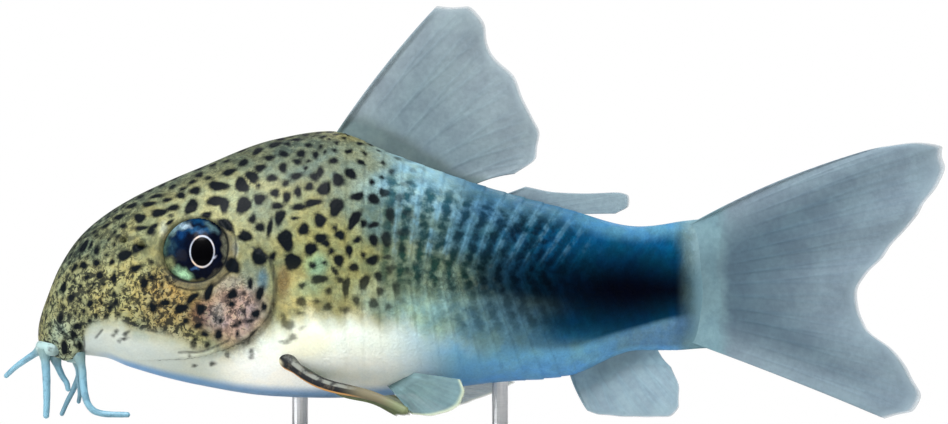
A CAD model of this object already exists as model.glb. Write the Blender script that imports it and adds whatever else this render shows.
# Corydoras catfish as a life-size museum model: skin, eyes, fins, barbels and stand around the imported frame.
# Sizes are in millimetres until a mesh is made. The fish faces -X and the camera looks along +Y.
import math

import bmesh
import bpy
import numpy as np
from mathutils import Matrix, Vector


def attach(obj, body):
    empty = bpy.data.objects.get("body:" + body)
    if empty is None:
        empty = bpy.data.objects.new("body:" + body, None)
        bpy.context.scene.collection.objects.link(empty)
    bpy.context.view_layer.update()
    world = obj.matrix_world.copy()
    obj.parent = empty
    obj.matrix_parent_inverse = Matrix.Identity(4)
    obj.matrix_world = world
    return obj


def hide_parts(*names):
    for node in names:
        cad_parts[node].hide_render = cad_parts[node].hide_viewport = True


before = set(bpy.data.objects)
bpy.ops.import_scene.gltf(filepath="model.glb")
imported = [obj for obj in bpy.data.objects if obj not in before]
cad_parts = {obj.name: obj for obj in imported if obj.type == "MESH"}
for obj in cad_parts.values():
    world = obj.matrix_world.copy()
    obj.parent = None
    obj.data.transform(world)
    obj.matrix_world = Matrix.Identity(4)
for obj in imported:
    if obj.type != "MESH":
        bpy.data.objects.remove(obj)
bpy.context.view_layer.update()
mm = 0.001

# The photo's frame on the fish's middle plane
photo = {
    "width": 948,
    "height": 424,
    "mmPerPixel": 0.063,
    "zeroColumn": 400,  # the column of X = 0
    "rodRow": 420,  # a row whose height is known
    "rodRowHeight": 3.4,
    "cameraDistance": 700,
    "sensorWidth": 36,
}


def fromPixel(column, row):
    # X and height of a pixel on the middle plane
    x = (column - photo["zeroColumn"]) * photo["mmPerPixel"]
    return x, photo["rodRowHeight"] + (photo["rodRow"] - row) * photo["mmPerPixel"]


def makeCamera():
    x, z = fromPixel(photo["width"] / 2, photo["height"] / 2)
    data = bpy.data.cameras.new("camera")
    data.sensor_width = photo["sensorWidth"]
    data.lens = photo["sensorWidth"] * photo["cameraDistance"] / (photo["width"] * photo["mmPerPixel"])
    data.clip_start = 0.01
    data.clip_end = 50
    camera = bpy.data.objects.new("camera", data)
    camera.location = (x * mm, -photo["cameraDistance"] * mm, z * mm)
    camera.rotation_euler = (math.pi / 2, 0, 0)
    bpy.context.scene.collection.objects.link(camera)
    bpy.context.scene.camera = camera
    print("camera at", tuple(round(value, 4) for value in camera.location))


makeCamera()


# Small tools


def ease(start, end, value):
    # 0 before start and 1 after end, with a soft change between
    share = np.clip((value - start) / (end - start), 0, 1)
    return share * share * (3 - 2 * share)


def hump(middle, halfWidth, value):
    # 1 at the middle, falling softly to 0
    return 1 - ease(0, halfWidth, np.abs(value - middle))


def curveThrough(knots, at):
    # smooth curve through (place, value) knots that never swings past a knot
    places = np.array([knot[0] for knot in knots], float)
    values = np.array([knot[1] for knot in knots], float)
    slopes = np.diff(values) / np.diff(places)
    before = np.concatenate((slopes[:1], slopes))
    after = np.concatenate((slopes, slopes[-1:]))
    sameWay = before * after > 0
    tangents = np.where(sameWay, 2 * before * after / np.where(sameWay, before + after, 1), 0)
    at = np.clip(at, places[0], places[-1])
    index = np.clip(np.searchsorted(places, at, side="right") - 1, 0, len(places) - 2)
    width = places[index + 1] - places[index]
    t = (at - places[index]) / width
    straight = values[index] + (values[index + 1] - values[index]) * t * t * (3 - 2 * t)
    return straight + width * (tangents[index] * t * (1 - t) ** 2 + tangents[index + 1] * t * t * (t - 1))


def unit(vectors):
    return vectors / np.linalg.norm(vectors, axis=-1, keepdims=True)


def placeOf(mesh):
    # the corners of a bmesh as rows of numbers
    return np.array([vertex.co[:] for vertex in mesh.verts])


def moveTo(mesh, points):
    # points in millimetres become the corners of the bmesh in metres
    for vertex, point in zip(mesh.verts, points * mm):
        vertex.co = point


def finishPiece(name, mesh, material, replaced=(), smooth=True):
    # a bmesh becomes a piece of the fish, at the origin
    bmesh.ops.recalc_face_normals(mesh, faces=mesh.faces)
    if mesh.calc_volume(signed=True) < 0:
        bmesh.ops.reverse_faces(mesh, faces=mesh.faces)
    data = bpy.data.meshes.new(name)
    mesh.to_mesh(data)
    mesh.free()
    if smooth:
        data.shade_smooth()
    data.materials.append(material)
    piece = bpy.data.objects.new(name, data)
    bpy.context.scene.collection.objects.link(piece)
    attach(piece, "root")
    if replaced:
        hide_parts(*replaced)
    return piece


def giveValue(piece, name, values):
    # one number for each corner, read by the material
    layer = piece.data.attributes.new(name, "FLOAT", "POINT")
    layer.data.foreach_set("value", np.asarray(values, np.float32))


def giveColour(piece, name, colours):
    layer = piece.data.attributes.new(name, "FLOAT_COLOR", "POINT")
    full = np.concatenate((colours, np.ones((len(colours), 1))), axis=1)
    layer.data.foreach_set("color", full.astype(np.float32).ravel())


def giveVector(piece, name, vectors):
    layer = piece.data.attributes.new(name, "FLOAT_VECTOR", "POINT")
    layer.data.foreach_set("vector", vectors.astype(np.float32).ravel())


def drawnOut(sides, rings, place):
    # a closed form: ring by ring, a sphere is moved to place(ring number, share of the turn)
    mesh = bmesh.new()
    bmesh.ops.create_uvsphere(mesh, u_segments=sides, v_segments=rings + 1, radius=1)
    corners = placeOf(mesh)
    ring = np.round(np.arccos(np.clip(corners[:, 2], -1, 1)) / math.pi * (rings + 1)).astype(int) - 1
    column = np.round(np.arctan2(corners[:, 1], corners[:, 0]) / (2 * math.pi) * sides).astype(int) % sides
    moveTo(mesh, place(ring, column))
    return mesh, ring, column


# Shader tools


def paint(red, green, blue):
    # a colour as a paint chart gives it, 0 to 255, made linear
    shares = np.array((red, green, blue)) / 255
    return np.where(shares <= 0.04045, shares / 12.92, ((shares + 0.055) / 1.055) ** 2.4)


def rgba(colour):
    return (*(float(value) for value in colour), 1.0)


def addNode(tree, kind, inputs=None, **settings):
    made = tree.nodes.new("ShaderNode" + kind)
    for name, value in settings.items():
        setattr(made, name, value)
    for key, value in (inputs or {}).items():
        if isinstance(value, bpy.types.NodeSocket):
            tree.links.new(value, made.inputs[key])
        else:
            made.inputs[key].default_value = value
    return made


def calc(tree, operation, *values, clamp=False):
    return addNode(tree, "Math", dict(enumerate(values)), operation=operation, use_clamp=clamp).outputs[0]


def fade(tree, value, low, high, toLow=0.0, toHigh=1.0):
    # a soft step from low to high
    inputs = {"Value": value, "From Min": low, "From Max": high, "To Min": toLow, "To Max": toHigh}
    return addNode(tree, "MapRange", inputs, interpolation_type="SMOOTHSTEP").outputs["Result"]


def tint(tree, amount, first, second, way="MIX"):
    return addNode(tree, "Mix", {0: amount, 6: first, 7: second}, data_type="RGBA", blend_type=way).outputs[2]


def readValue(tree, name):
    return addNode(tree, "Attribute", attribute_name=name).outputs["Fac"]


def readColour(tree, name):
    return addNode(tree, "Attribute", attribute_name=name).outputs["Color"]


def inMillimetres(tree):
    # the piece's own coordinates, so that a texture's scale is a count for each millimetre
    where = addNode(tree, "TexCoord").outputs["Object"]
    return addNode(tree, "Mapping", {"Vector": where, "Scale": (1000, 1000, 1000)}).outputs[0]


def cloud(tree, where, scale, detail=3.0, roughness=0.55, distortion=0.0):
    inputs = {"Vector": where, "Scale": scale, "Detail": detail, "Roughness": roughness, "Distortion": distortion}
    return addNode(tree, "TexNoise", inputs).outputs[0]


def cells(tree, where, scale, feature="F1"):
    return addNode(tree, "TexVoronoi", {"Vector": where, "Scale": scale}, feature=feature).outputs["Distance"]


def wandered(tree, where, scale, reach):
    # a place shifted by a soft noise, so that a pattern on it turns ragged
    shift = addNode(tree, "TexNoise", {"Vector": where, "Scale": scale}).outputs["Color"]
    return addNode(tree, "VectorMath", {0: shift, 1: (reach,) * 3, 2: where}, operation="MULTIPLY_ADD").outputs[0]


def newMaterial(name, **values):
    # an empty Principled material: values go on the shader's own sockets
    material = bpy.data.materials.new(name)
    material.use_nodes = True
    shader = material.node_tree.nodes["Principled BSDF"]
    for socket, value in values.items():
        shader.inputs[socket.replace("_", " ")].default_value = value
    return material, material.node_tree, shader


def bumpFrom(tree, shader, height, distance, strength=1.0):
    # height 0 to 1 over a distance in millimetres
    bump = addNode(tree, "Bump", {"Height": height, "Distance": distance * mm, "Strength": strength})
    tree.links.new(bump.outputs[0], shader.inputs["Normal"])


# Body form, the same sections as the solids have

body = {
    "snoutX": -22.8,
    "length": 42.0,
    "sides": 260,
    "headRings": 135,
    "headCrowding": 1.3,  # above 1, the rings crowd towards the snout
    "ringsInPlate": 8,
    "rootRings": 13,  # over the root of the tail fin
    "rootEnd": 42.3,
    "rootThin": 0.96,
    "rootShrink": 0.03,
    "rootLevel": 12.0,
    # place, back, belly, half width, widest share, squareness above, squareness below
    "sections": (
        (0.0, 8.7, 8.7, 0.0, 0.40, 2.0, 2.0),
        (0.5, 10.9, 7.8, 1.7, 0.42, 2.0, 2.2),
        (1.4, 13.1, 7.4, 2.6, 0.42, 2.0, 2.4),
        (2.7, 15.0, 7.5, 3.3, 0.41, 2.0, 2.5),
        (4.2, 16.3, 7.35, 3.85, 0.40, 2.0, 2.55),
        (5.8, 17.3, 6.75, 4.3, 0.40, 2.0, 2.6),
        (10.2, 19.3, 5.6, 5.1, 0.38, 2.0, 2.6),
        (15.0, 21.1, 4.9, 5.6, 0.36, 1.9, 2.7),
        (18.4, 21.6, 4.8, 5.6, 0.37, 1.8, 2.8),
        (22.5, 20.1, 5.0, 5.1, 0.40, 1.8, 2.8),
        (28.2, 18.1, 5.7, 4.1, 0.46, 1.9, 2.6),
        (33.3, 16.7, 6.2, 3.0, 0.50, 2.0, 2.2),
        (37.9, 15.6, 7.8, 1.8, 0.52, 2.0, 2.0),
        (42.0, 16.2, 7.8, 0.95, 0.50, 2.0, 2.0),
    ),
}

plates = {
    "start": 17.4,
    "end": 41.4,
    "count": 24,
    "rise": 0.075,
    "lean": 2.6,
    "lateralAngle": math.radians(360 / 28),
    "bellyAngle": math.radians(-60),
    "bareBellyEnd": 30.7,
}


def along(place):
    return np.sqrt(np.clip(place, 0, body["length"]) / body["length"])


sectionCurves = [
    [(float(along(row[0])), row[column]) for row in body["sections"]] for column in range(1, 7)
]


def section(place):
    # back, belly, half width, widest share, squareness above and below
    return [curveThrough(curve, along(np.asarray(place, float))) for curve in sectionCurves]


def skinPoint(place, angle):
    # angle 0 is the left side and a quarter turn is the back
    back, belly, half, widest, above, below = section(place)
    level = belly + widest * (back - belly)
    side, up = np.cos(angle), np.sin(angle)
    power = np.where(up >= 0, above, below)
    reach = np.where(up >= 0, back - level, level - belly)
    y = -half * np.sign(side) * np.abs(side) ** (2 / power)
    z = level + reach * np.sign(up) * np.abs(up) ** (2 / power)
    return np.stack(np.broadcast_arrays(body["snoutX"] + place, y, z), axis=-1)


def flank(place, height):
    # how far the skin is from the middle plane
    back, belly, half, widest, above, below = section(place)
    level = belly + widest * (back - belly)
    upper = height > level
    power = np.where(upper, above, below)
    reach = np.where(upper, back - level, level - belly)
    share = np.minimum(np.abs(height - level) / reach, 1)
    return half * (1 - share**power) ** (1 / power)


def flankNormal(place, height, side):
    step = 0.2
    lengthways = (flank(place + step, height) - flank(place - step, height)) / (2 * step)
    upwards = (flank(place, height + step) - flank(place, height - step)) / (2 * step)
    return unit(np.array((-lengthways, side, -upwards), float))


def flankPoint(place, height, side, lift=0.0):
    point = np.array((body["snoutX"] + place, side * flank(place, height), height), float)
    return point + flankNormal(place, height, side) * lift


def onFlank(column, row):
    # place and height of a pixel of the photo
    x, z = fromPixel(column, row)
    return x - body["snoutX"], z


def leanAt(place):
    return plates["lean"] * ease(18, 31, place) * ease(0, 6.5, body["length"] - place)


def bodyPoint(place, angle):
    back, belly = section(place)[:2]
    middle = skinPoint(place, plates["lateralAngle"])[..., 2]
    height = skinPoint(place, angle)[..., 2]
    reach = np.where(height > middle, back - middle, middle - belly)
    shifted = place + leanAt(place) * np.abs(height - middle) / np.maximum(reach, 0.01)
    point = skinPoint(np.minimum(shifted, body["rootEnd"]), angle)
    # the end thins into the root of the tail fin
    thin = ease(40.0, body["rootEnd"], shifted)
    point[..., 1] *= 1 - body["rootThin"] * thin
    point[..., 2] = body["rootLevel"] + (point[..., 2] - body["rootLevel"]) * (1 - body["rootShrink"] * thin)
    return point


def ringPlaces():
    # distance from the snout of each ring of corners
    head = (np.arange(1, body["headRings"]) / body["headRings"]) ** body["headCrowding"] * plates["start"]
    length = (plates["end"] - plates["start"]) / plates["count"]
    count = body["ringsInPlate"]
    within = np.append(np.linspace(0, 0.84, count - 1), 0.95)  # the last one is the rear edge
    fronts = plates["start"] + np.arange(plates["count"]) * length
    rows = (fronts[:, None] + within[None, :] * length).ravel()
    root = np.linspace(plates["end"], body["rootEnd"], body["rootRings"])
    return np.concatenate((head, rows, root))


def evenAngles(places):
    # angles round each section whose corners are evenly spaced along the skin
    fine = np.linspace(-math.pi / 2, math.pi / 2, 500)
    half = body["sides"] // 2
    angles = np.empty((len(places), body["sides"]))
    for index, place in enumerate(places):
        outline = skinPoint(place, fine)
        run = np.concatenate(([0], np.cumsum(np.linalg.norm(np.diff(outline, axis=0), axis=1))))
        quarter = np.interp(np.linspace(0, run[-1], half + 1), run, fine)
        angles[index, : half + 1] = quarter
        angles[index, half:] = math.pi - np.append(quarter[1:], [])[::-1]
    return angles


# Eyes

eye = {
    "place": 10.05,
    "wide": 1.04,  # longer than high
    "height": 14.15,
    "radius": 2.3,
    "halfDepth": 1.5,
    "sink": 0.8,
    "opening": 1.93,  # radius where the skin meets the ball
    "rimRadius": 2.24,
    "rimRise": 0.2,
    "socketDepth": 1.5,
    "column": 195.5,  # the eye's middle in the photo
    "row": 251,
    "pupil": (0.745, 0.955),  # half width and half height
    "pupilPlace": (0.55, -0.015),
    "ringWarm": paint(214, 190, 168),
    "ringCool": paint(176, 184, 200),
}


def eyeFrame(side):
    # middle of the ball, where it looks, and its rearward and upward directions
    looks = unit(flankNormal(eye["place"], eye["height"], side) + np.array((-0.12, 0, 0.02)))
    middle = flankPoint(eye["place"], eye["height"], side, -eye["sink"])
    upward = unit(np.array((0, 0, 1.0)) - looks * looks[2])
    rearward = np.cross(upward, looks) * -side
    if rearward[0] < 0:
        rearward = -rearward
    return middle, looks, rearward, upward


# Skin

head = {
    "nostrils": ((5.5, 14.75, 0.26), (6.65, 14.45, 0.3)),  # place, height, radius
    "mouth": (1.25, 7.55),
    "mouthWidth": 1.35,  # how much wider than long
    "lipRadius": 1.0,
    "lipRise": 0.3,
    "flap": (2.05, 1.9, 0.95, 0.75),  # place, sideways, half length and half width of the lobe at the mouth corner
    "flapDrop": 0.6,
    "gillEdge": ((13.6, 14.3), (14.75, 13.4), (15.05, 11.8), (14.8, 10.4), (13.8, 9.0), (12.7, 8.3), (11.15, 7.68),
                 (9.3, 7.3), (7.6, 7.25)),
    "gillRise": 0.34,
    # folds that show as thin dark lines, as (place, height)
    "folds": (
        ((5.4, 9.72), (6.1, 9.45), (6.9, 9.15), (7.6, 9.0)),
        ((2.7, 9.3), (2.95, 8.7), (3.0, 8.1), (2.85, 7.7)),
        ((3.75, 8.6), (4.15, 9.1)),
        ((9.0, 7.75), (10.2, 7.8), (11.3, 8.15), (12.3, 8.6)),
    ),
}

spotsSeen = (  # column, row, width and height in the photo's pixels, and tilt in degrees
    # brow and forehead
    (132, 206, 10, 5, 30), (120, 217, 11, 6, 10), (106, 226, 11, 4, 20), (124, 226, 8, 5, 25), (150, 204, 13, 5, 10),
    (158, 196, 12, 4, 12), (168, 200, 9, 4, 15), (182, 195, 9, 6, 0), (175, 208, 12, 6, -5), (160, 213, 14, 8, 15),
    (141, 218, 11, 9, 25), (196, 191, 10, 8, 0), (184, 189, 7, 4, 0), (193, 207, 11, 14, 0), (219, 186, 18, 9, -5),
    (210, 178, 8, 4, 5), (200, 175, 9, 5, 15), (193, 182, 8, 4, 10), (230, 172, 13, 6, 5), (244, 163, 10, 6, 0),
    (243, 185, 18, 9, -50), (253, 177, 15, 8, -40), (261, 168, 10, 7, 0), (270, 158, 9, 5, 0), (258, 151, 9, 6, 0),
    (284, 154, 10, 5, -10), (284, 168, 8, 8, 0), (302, 154, 7, 8, 0), (298, 162, 8, 5, 0), (316, 155, 6, 6, 0),
    (273, 178, 9, 7, 0), (297, 176, 10, 7, 10), (315, 177, 8, 8, 0), (287, 183, 6, 7, 0), (310, 187, 8, 7, 0),
    (259, 186, 4, 6, 0), (276, 193, 8, 8, 0), (299, 192, 8, 9, 0), (261, 199, 12, 9, -10), (288, 197, 8, 9, 0),
    (278, 206, 10, 7, 0), (245, 205, 14, 14, 0), (218, 201, 19, 9, -8), (226, 206, 8, 14, 10), (209, 216, 10, 6, 0),
    (254, 219, 7, 8, 0), (228, 225, 16, 9, -45), (262, 227, 8, 9, 0), (271, 228, 4, 19, -5), (281, 217, 9, 14, -5),
    (296, 218, 9, 3, -8), (172, 216, 5, 4, -30), (172, 223, 10, 4, 35),
    # behind the eye
    (247, 236, 14, 9, -20), (287, 240, 14, 18, 0), (305, 229, 9, 12, 0), (312, 249, 12, 11, -25), (294, 261, 17, 13, 0),
    (261, 257, 12, 17, 0), (274, 256, 7, 7, 0), (300, 207, 14, 6, 8), (313, 203, 15, 7, 12), (321, 220, 13, 10, -50),
    (322, 238, 11, 9, 0), (327, 243, 7, 7, 0), (321, 172, 7, 9, 0), (339, 180, 15, 8, -60), (351, 174, 13, 7, -70),
    (334, 161, 9, 6, -20), (361, 163, 9, 4, -30), (321, 147, 4, 4, 0), (325, 189, 11, 12, 0), (337, 207, 12, 16, 0),
    (358, 197, 12, 8, 15), (374, 199, 9, 11, 0), (384, 193, 9, 8, 0), (355, 220, 21, 8, 65), (364, 223, 8, 6, 0),
    (374, 225, 10, 5, 0), (341, 235, 9, 9, 0), (336, 228, 5, 8, 0), (358, 240, 8, 6, 0), (350, 250, 6, 12, 0),
    (374, 240, 8, 10, 0), (387, 239, 10, 12, 0), (364, 255, 6, 6, 0), (340, 260, 10, 10, 0), (355, 267, 9, 8, 0),
    (373, 260, 11, 9, 0), (391, 268, 8, 8, 0), (388, 257, 9, 4, 0), (391, 215, 7, 15, 0), (379, 276, 7, 8, 0),
    (365, 282, 9, 13, -15), (320, 279, 14, 8, 12), (336, 271, 12, 4, -50), (347, 286, 7, 17, -5), (342, 280, 9, 5, -45),
    (357, 300, 6, 9, 0), (374, 303, 7, 10, 0), (381, 290, 6, 8, 0), (303, 301, 9, 8, 25), (317, 301, 8, 4, 0),
    (329, 306, 9, 6, 0), (314, 320, 7, 6, 0), (285, 319, 5, 9, 0), (290, 324, 9, 9, 0), (294, 336, 9, 5, -5),
    (287, 341, 9, 4, 0), (304, 327, 6, 3, 0), (404, 232, 7, 12, 80), (410, 214, 7, 12, 80), (403, 248, 6, 9, 0),
    (409, 272, 7, 7, 0), (416, 264, 8, 5, 0), (397, 288, 7, 12, 0), (402, 300, 7, 6, 0),
    # gill cover and cheek
    (235, 266, 11, 16, 35), (234, 294, 10, 9, 0), (233, 303, 8, 6, 0), (262, 293, 7, 13, -10), (252, 283, 5, 9, 0),
    (246, 311, 4, 8, 0), (258, 313, 8, 9, -30), (252, 320, 8, 4, 0), (242, 321, 4, 5, 0), (237, 324, 5, 4, 0),
    (240, 332, 4, 6, 0), (221, 333, 8, 8, 0), (229, 354, 4, 4, 0), (253, 351, 5, 5, 0), (253, 356, 4, 3, 0),
    (249, 340, 4, 5, 0), (244, 342, 4, 3, 0), (254, 333, 12, 3, 50), (233, 311, 3, 4, 0), (246, 292, 4, 4, 0),
    (266, 306, 5, 8, 0), (250, 300, 3, 4, 0), (218, 318, 4, 5, 0), (223, 320, 4, 6, 0), (183, 308, 12, 8, 25),
    (194, 298, 14, 6, 35), (211, 292, 7, 15, -25), (203, 308, 9, 8, 0), (200, 325, 8, 6, 0), (207, 333, 8, 5, 0),
    (196, 342, 6, 8, 0), (210, 343, 5, 5, 0), (192, 355, 3, 3, 0), (214, 363, 5, 4, 0), (196, 365, 6, 2, 20),
    (188, 320, 7, 5, 0), (167, 302, 10, 6, 0), (155, 307, 8, 8, 0), (164, 285, 4, 8, -20), (154, 277, 8, 6, -30),
    # snout and chin
    (85, 246, 9, 11, 0), (92, 245, 4, 8, 0), (98, 250, 6, 9, 0), (98, 263, 7, 8, 0), (85, 265, 9, 7, 0),
    (102, 275, 8, 8, 0), (76, 267, 6, 9, 0), (88, 277, 7, 5, 0), (65, 287, 7, 11, 0), (141, 248, 15, 8, 20),
    (127, 255, 16, 8, 25), (138, 268, 12, 6, 10), (143, 228, 15, 4, 0), (153, 231, 9, 8, 0), (157, 226, 7, 5, 20),
    (116, 277, 6, 10, 0), (146, 283, 8, 10, 0), (153, 261, 7, 4, -30), (114, 262, 5, 6, 0), (92, 303, 7, 7, 0),
    (73, 297, 8, 7, 0), (79, 326, 9, 7, 0), (75, 334, 6, 8, 0), (62, 318, 6, 9, 0), (66, 343, 6, 9, 0),
    (67, 355, 9, 7, 0), (58, 348, 3, 6, 0), (82, 345, 4, 9, 0), (118, 331, 4, 4, 0), (115, 335, 4, 3, 0),
    (128, 333, 7, 3, 30), (126, 338, 6, 3, 0), (121, 340, 3, 3, 0), (37, 342, 5, 8, 0),
)
strewn = {"seed": 11, "tries": 26000, "gap": 0.98, "radius": 0.34, "shift": 0.28, "turn": 25, "readTo": 5.2, "readFrom": 16.5}


def nearestOnLine(points, knots):
    # distance to a line of knots, and which side of it a point is on
    best = np.full(len(points), 99.0)
    side = np.ones(len(points))
    for start, end in zip(knots, knots[1:]):
        start, end = np.array(start), np.array(end)
        run = end - start
        share = np.clip(((points - start) @ run) / (run @ run), 0, 1)
        away = points - (start + share[:, None] * run)
        distance = np.linalg.norm(away, axis=1)
        nearer = distance < best
        best = np.where(nearer, distance, best)
        side = np.where(nearer, np.sign(run[0] * away[:, 1] - run[1] * away[:, 0]), side)
    return best, side


def smoothLine(knots, count=40):
    # the same line with rounded turns
    at = np.linspace(0, len(knots) - 1, count)
    return list(zip(*(curveThrough([(i, knot[axis]) for i, knot in enumerate(knots)], at) for axis in (0, 1))))


gillLine = smoothLine(head["gillEdge"])


def upperEdge(place):
    # height of the border between the marked skin and the pale belly
    knots = ((0, 7.6), (2.4, 7.2), (2.75, 7.6), (3.1, 9.1), (4.0, 9.6), (5.2, 9.65), (6.2, 9.1), (7.4, 8.95), (9.0, 8.6),
             (10.5, 7.95), (12.0, 7.7), (13.0, 8.3), (14.2, 9.0), (15.6, 9.6), (18, 10.0), (22, 9.8), (26, 8.6),
             (30, 8.0), (32.8, 8.0), (36.7, 8.95), (40.3, 9.9), (42, 10.2))
    return curveThrough(knots, place)


def plateLift(ringPlace, angle, place, height):
    # rear edges stand proud, with a groove where the two rows of plates meet
    length = (plates["end"] - plates["start"]) / plates["count"]
    phase = ((ringPlace - plates["start"]) / length) % 1
    inRows = (ringPlace >= plates["start"]) & (ringPlace < plates["end"])
    level = np.abs((angle + math.pi / 2) % (2 * math.pi) - math.pi)
    level = math.pi / 2 - level  # a quarter turn at the back, minus that at the belly
    seam = np.minimum(np.abs(level - math.pi / 2), np.abs(level - plates["lateralAngle"]))
    cover = ease(0.02, 0.12, seam)
    bare = ease(plates["bellyAngle"] + 0.12, plates["bellyAngle"] - 0.12, level)
    bare *= ease(plates["bareBellyEnd"] + 0.5, plates["bareBellyEnd"] - 0.5, place)
    cover = cover * (1 - bare) * ease(17.2, 20.5, place) * ease(41.4, 39.8, place)
    cover = cover * (1 - 0.85 * ease(31, 36, place))
    cover = cover * (1 - 0.75 * ease(0.3, -0.6, height - upperEdge(place)) * ease(28, 23, place))
    lift = plates["rise"] * phase**0.8 * cover * inRows
    return lift, phase, (1 - bare) * inRows, level


def foldDistance(points):
    # distance, in side view, to the nearest thin fold of the head
    flat = points[:, (0, 2)] - (body["snoutX"], 0)
    return np.min([nearestOnLine(flat, smoothLine(line, 20))[0] for line in head["folds"]], axis=0)


def headForms(points, normals):
    # eye rims and sockets, nostrils, gill covers, flaps and folds: how far each corner moves, in millimetres
    move = np.zeros_like(points)
    place = points[:, 0] - body["snoutX"]
    for side in (-1, 1):
        onSide = np.sign(points[:, 1]) == side
        middle, looks, rearward, upward = eyeFrame(side)
        away = points - middle
        radius = np.hypot(away @ rearward / eye["wide"], away @ upward)
        near = onSide & (radius < 4)
        rim = eye["rimRise"] * np.exp(-(((radius - eye["rimRadius"]) / 0.22) ** 2))
        brow = 0.1 * np.exp(-(((radius - 2.7) / 0.5) ** 2))
        groove = -0.1 * np.exp(-(((radius - 2.62) / 0.1) ** 2))
        socket = -eye["socketDepth"] * ease(eye["opening"] + 0.12, eye["opening"] - 0.2, radius)
        move += np.where(near, rim + brow + groove + socket, 0)[:, None] * looks
        for at, height, size in head["nostrils"]:
            pit = flankPoint(at, height, side)
            distance = np.linalg.norm(points - pit, axis=1)
            lift = 0.13 * np.exp(-(((distance - size * 1.35) / 0.14) ** 2))
            lift -= 0.45 * ease(size * 1.15, size * 0.4, distance)
            move += np.where(distance < 2, lift, 0)[:, None] * normals
        distance, inside = nearestOnLine(points[:, (0, 2)] - (body["snoutX"], 0), gillLine)
        strength = 0.35 + 0.65 * ease(9.0, 12.5, place)
        cover = head["gillRise"] * ease(2.6, 0.1, distance) * (inside < 0)
        trench = -0.16 * ease(0.5, 0.0, distance) * (inside > 0)
        move += np.where(onSide & (distance < 3), (cover + trench) * strength, 0)[:, None] * normals
        # a lobe that hangs at the mouth corner, from which the lower barbels grow
        at, out, halfLength, halfWidth = head["flap"]
        lobe = ease(1.0, 0.35, np.hypot((place - at) / halfLength, (points[:, 1] - side * out) / halfWidth))
        lobe *= ease(9.2, 8.0, points[:, 2])
        move += (lobe * head["flapDrop"])[:, None] * np.array((-0.1, 0.25 * side, -0.8))
    move -= (0.07 * ease(0.16, 0.0, foldDistance(points)))[:, None] * normals
    # lips: a soft ring round a small pit, on the underside of the snout
    mouth = np.array((body["snoutX"] + head["mouth"][0], 0, head["mouth"][1]))
    faces = unit(np.array((-0.35, 0, -1.0)))
    across, foreAft = np.array((0, 1.0, 0)), np.cross(faces, (0, 1.0, 0))
    away = points - mouth
    ring = np.hypot(away @ across / head["mouthWidth"], away @ foreAft) / head["lipRadius"]
    below = ease(-0.1, 0.5, normals @ faces) * (place < 5)
    lip = head["lipRise"] * np.exp(-(((ring - 1) / 0.3) ** 2))
    pit = -0.7 * ease(0.75, 0.3, ring)
    move += ((lip + pit) * below)[:, None] * faces
    return move


def spotFrame(place, height, side):
    # a place on the skin with its lengthways and upward directions
    centre = flankPoint(place, height, side)
    outward = flankNormal(place, height, side)
    upward = unit(np.array((0, 0, 1.0)) - outward * outward[2])
    return centre, outward, np.cross(upward, outward) * -side, upward


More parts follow.
